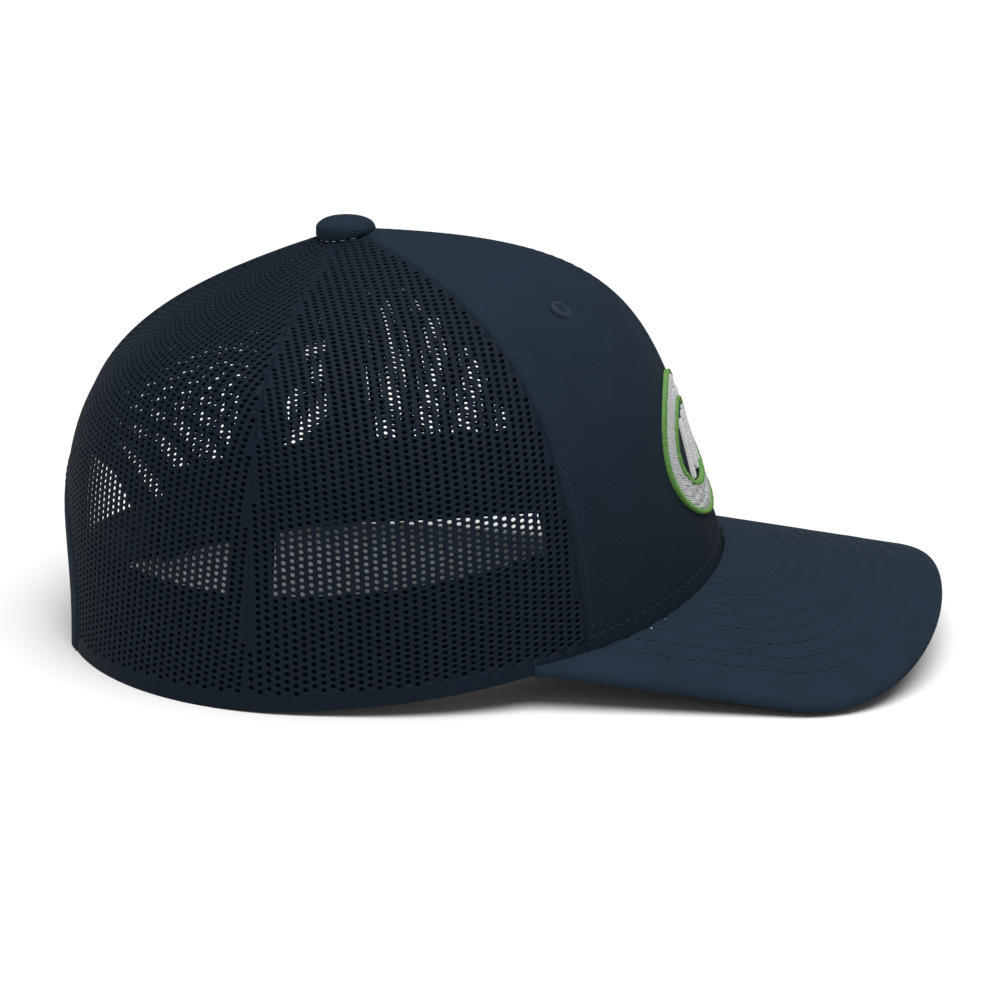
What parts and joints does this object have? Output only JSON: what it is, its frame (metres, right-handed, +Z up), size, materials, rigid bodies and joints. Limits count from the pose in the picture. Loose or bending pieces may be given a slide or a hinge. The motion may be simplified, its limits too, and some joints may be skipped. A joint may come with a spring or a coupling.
{
  "type": "trucker cap",
  "caption": "Six-panel trucker cap with a stiff twill front, mesh sides and back, a curved stitched visor, a raised round emblem and a snap strap across the rear arch.",
  "frame": {"origin": "middle of the footprint on the table, under the crown's front half", "axes": "+X to the front of the cap, +Y to the wearer's left, +Z up"},
  "size_m": [0.2498, 0.1708, 0.1162],
  "materials": {
    "twill_navy": "cotton twill, matt",
    "buckram": "stiff woven lining",
    "mesh_navy": "knitted polyester mesh",
    "hem_tape": "plain woven tape",
    "band_fabric": "soft woven band",
    "visor_core": "moulded sheet",
    "thread_navy": "sewing thread",
    "emblem_green": "embroidery thread, satin",
    "emblem_white": "embroidery thread, satin",
    "strap_plastic": "moulded, slightly flexible",
    "button_metal": "plated"
  },
  "bodies": {
    "cap": {"front_panel_right": "twill_navy", "front_panel_left": "twill_navy", "visor_top_cover": "twill_navy", "visor_under_cover": "twill_navy", "button_cover": "twill_navy", "arch_binding": "twill_navy", "front_buckram_right": "buckram", "front_buckram_left": "buckram", "side_mesh_right": "mesh_navy", "side_mesh_left": "mesh_navy", "back_mesh_right": "mesh_navy", "back_mesh_left": "mesh_navy", "mesh_hem_right": "hem_tape", "mesh_hem_left": "hem_tape", "front_seam_tape_right": "hem_tape", "front_seam_tape_left": "hem_tape", "rear_seam_tape_right": "hem_tape", "rear_seam_tape_left": "hem_tape", "centre_front_tape": "hem_tape", "centre_back_tape": "hem_tape", "sweatband": "band_fabric", "visor_board": "visor_core", "visor_stitch_rows_top": "thread_navy", "visor_stitch_rows_under": "thread_navy", "centre_front_topstitch": "thread_navy", "front_side_topstitch_right": "thread_navy", "front_side_topstitch_left": "thread_navy", "crown_edge_topstitch": "thread_navy", "eyelet_right": "thread_navy", "eyelet_left": "thread_navy", "emblem_border": "emblem_green", "emblem_field": "emblem_white", "emblem_bars": "emblem_white", "strap_tab_holes": "strap_plastic", "strap_tab_pegs": "strap_plastic", "button_shell": "button_metal", "button_washer": "button_metal"},
    "strap_outer": {"strap_tongue_holes": "strap_plastic"},
    "strap_inner": {"strap_tongue_pegs": "strap_plastic"}
  },
  "joints": [
    {"name": "outer_strap_bend", "type": "hinge", "parent": "cap", "child": "strap_outer", "pos_m": [-0.11586, 0.0335, 0.011], "axis": [0, 0, -1], "range_deg": [0, 70], "stiffness_Nm_per_rad": 0.01},
    {"name": "inner_strap_bend", "type": "hinge", "parent": "cap", "child": "strap_inner", "pos_m": [-0.11406, -0.0335, 0.011], "axis": [0, 0, -1], "range_deg": [0, 50], "stiffness_Nm_per_rad": 0.01}
  ]
}
